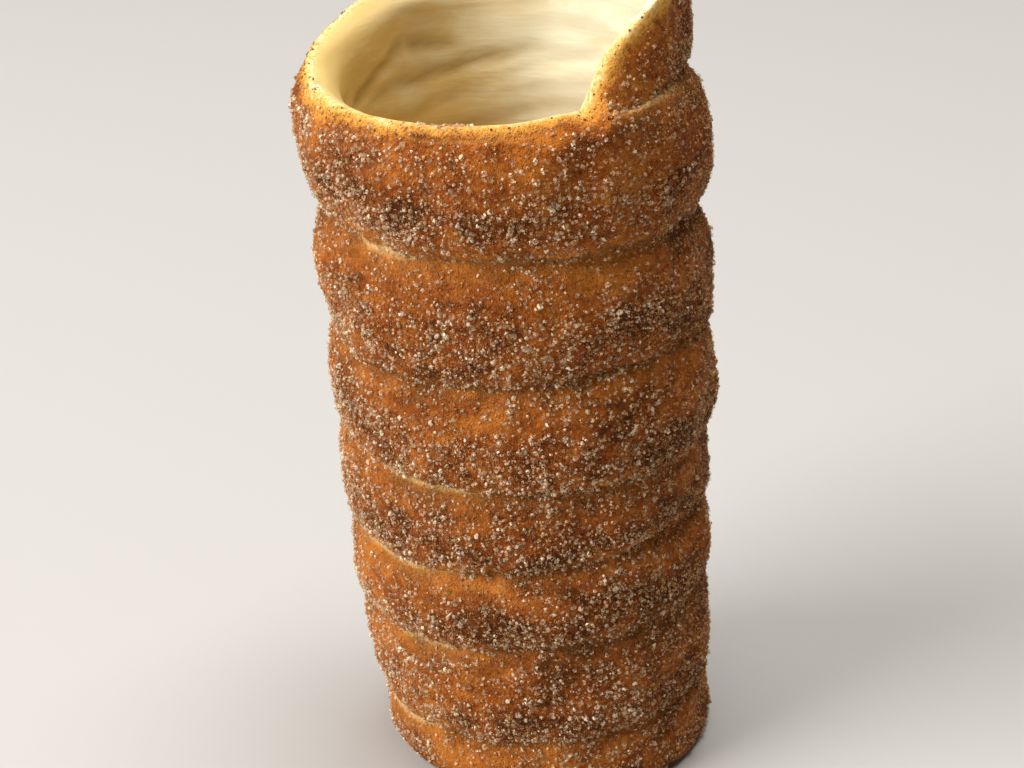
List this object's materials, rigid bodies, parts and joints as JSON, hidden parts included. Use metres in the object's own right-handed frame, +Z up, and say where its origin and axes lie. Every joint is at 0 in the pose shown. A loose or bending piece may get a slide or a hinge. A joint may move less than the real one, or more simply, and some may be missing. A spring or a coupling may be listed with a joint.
{
  "type": "chimney cake",
  "caption": "Tall open tube of baked sweet dough, a flat strip wound in a helix with a rolled rim, a tapered strip end and a coat of coarse sugar grains.",
  "frame": {"origin": "middle of the bounding box at the height of the flat bottom edge that the cake stands on", "axes": "+Z up along the tube, -Y towards the picture's camera, +X to the camera's right, where the strip's free end lies at the top"},
  "size_m": [0.0922, 0.087, 0.1787],
  "materials": {
    "sugared_crust": "matte baked crust with sugar grains"
  },
  "bodies": {
    "root": {"chimney_cake": "sugared_crust"}
  },
  "joints": []
}
